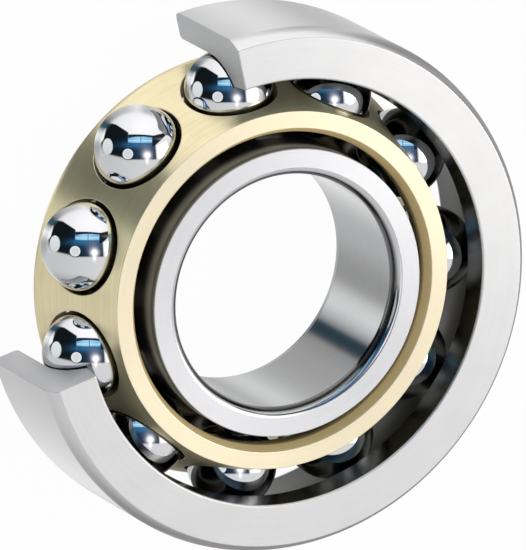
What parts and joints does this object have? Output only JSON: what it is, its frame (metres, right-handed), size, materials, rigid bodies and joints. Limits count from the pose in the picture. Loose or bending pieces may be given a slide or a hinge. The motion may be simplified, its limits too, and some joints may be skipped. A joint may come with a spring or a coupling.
{
  "type": "angular contact ball bearing",
  "caption": "Single-row angular contact ball bearing with a machined brass cage, its outer ring cut open to show the balls; both rings, cage and balls turn as in service.",
  "frame": {"origin": "on the bearing axis, in the plane of the rings' back faces", "axes": "+Z along the bearing axis towards the front faces, where the outer ring's high shoulder and the cage's narrow rim are; the cut sector of the outer ring is centred on the direction between -X and +Y"},
  "size_m": [0.09, 0.09, 0.023],
  "materials": {
    "outer_ring_steel": "fine ground steel, satin",
    "inner_ring_steel": "fine ground steel, half bright",
    "cage_brass": "fine turned brass, satin, unlacquered",
    "ball_steel": "mirror polished bearing steel"
  },
  "bodies": {
    "outer_ring": {"outer_ring": "outer_ring_steel"},
    "inner_ring": {"inner_ring": "inner_ring_steel"},
    "cage": {"cage": "cage_brass"},
    "ball_01": {"ball_01": "ball_steel"},
    "ball_02": {"ball_02": "ball_steel"},
    "ball_03": {"ball_03": "ball_steel"},
    "ball_04": {"ball_04": "ball_steel"},
    "ball_05": {"ball_05": "ball_steel"},
    "ball_06": {"ball_06": "ball_steel"},
    "ball_07": {"ball_07": "ball_steel"},
    "ball_08": {"ball_08": "ball_steel"},
    "ball_09": {"ball_09": "ball_steel"},
    "ball_10": {"ball_10": "ball_steel"},
    "ball_11": {"ball_11": "ball_steel"}
  },
  "joints": [
    {"name": "inner_ring_spin", "type": "hinge", "parent": "outer_ring", "child": "inner_ring", "pos_m": [0, 0, 0.0115], "axis": [0, 0, 1], "continuous": true},
    {"name": "cage_orbit", "type": "hinge", "parent": "outer_ring", "child": "cage", "pos_m": [0, 0, 0.0115], "axis": [0, 0, 1], "continuous": true},
    {"name": "ball_01_spin", "type": "hinge", "parent": "cage", "child": "ball_01", "pos_m": [0.00285, 0.03238, 0.0109], "axis": [-0.0564, -0.6403, 0.766], "continuous": true},
    {"name": "ball_02_spin", "type": "hinge", "parent": "cage", "child": "ball_02", "pos_m": [-0.01511, 0.02878, 0.0109], "axis": [0.2988, -0.5691, 0.766], "continuous": true},
    {"name": "ball_03_spin", "type": "hinge", "parent": "cage", "child": "ball_03", "pos_m": [-0.02826, 0.01604, 0.0109], "axis": [0.559, -0.3173, 0.766], "continuous": true},
    {"name": "ball_04_spin", "type": "hinge", "parent": "cage", "child": "ball_04", "pos_m": [-0.03245, -0.00179, 0.0109], "axis": [0.6418, 0.0353, 0.766], "continuous": true},
    {"name": "ball_05_spin", "type": "hinge", "parent": "cage", "child": "ball_05", "pos_m": [-0.02633, -0.01905, 0.0109], "axis": [0.5208, 0.3767, 0.766], "continuous": true},
    {"name": "ball_06_spin", "type": "hinge", "parent": "cage", "child": "ball_06", "pos_m": [-0.01185, -0.03026, 0.0109], "axis": [0.2345, 0.5985, 0.766], "continuous": true},
    {"name": "ball_07_spin", "type": "hinge", "parent": "cage", "child": "ball_07", "pos_m": [0.00639, -0.03187, 0.0109], "axis": [-0.1263, 0.6303, 0.766], "continuous": true},
    {"name": "ball_08_spin", "type": "hinge", "parent": "cage", "child": "ball_08", "pos_m": [0.0226, -0.02336, 0.0109], "axis": [-0.447, 0.4619, 0.766], "continuous": true},
    {"name": "ball_09_spin", "type": "hinge", "parent": "cage", "child": "ball_09", "pos_m": [0.03164, -0.00743, 0.0109], "axis": [-0.6258, 0.1469, 0.766], "continuous": true},
    {"name": "ball_10_spin", "type": "hinge", "parent": "cage", "child": "ball_10", "pos_m": [0.03063, 0.01086, 0.0109], "axis": [-0.6059, -0.2147, 0.766], "continuous": true},
    {"name": "ball_11_spin", "type": "hinge", "parent": "cage", "child": "ball_11", "pos_m": [0.0199, 0.02569, 0.0109], "axis": [-0.3936, -0.5082, 0.766], "continuous": true}
  ],
  "couplings": [
    {"joint": "cage_orbit", "follows": "inner_ring_spin", "ratio": 0.41113},
    {"joint": "ball_01_spin", "follows": "inner_ring_spin", "ratio": -2.087},
    {"joint": "ball_02_spin", "follows": "inner_ring_spin", "ratio": -2.087},
    {"joint": "ball_03_spin", "follows": "inner_ring_spin", "ratio": -2.087},
    {"joint": "ball_04_spin", "follows": "inner_ring_spin", "ratio": -2.087},
    {"joint": "ball_05_spin", "follows": "inner_ring_spin", "ratio": -2.087},
    {"joint": "ball_06_spin", "follows": "inner_ring_spin", "ratio": -2.087},
    {"joint": "ball_07_spin", "follows": "inner_ring_spin", "ratio": -2.087},
    {"joint": "ball_08_spin", "follows": "inner_ring_spin", "ratio": -2.087},
    {"joint": "ball_09_spin", "follows": "inner_ring_spin", "ratio": -2.087},
    {"joint": "ball_10_spin", "follows": "inner_ring_spin", "ratio": -2.087},
    {"joint": "ball_11_spin", "follows": "inner_ring_spin", "ratio": -2.087}
  ]
}
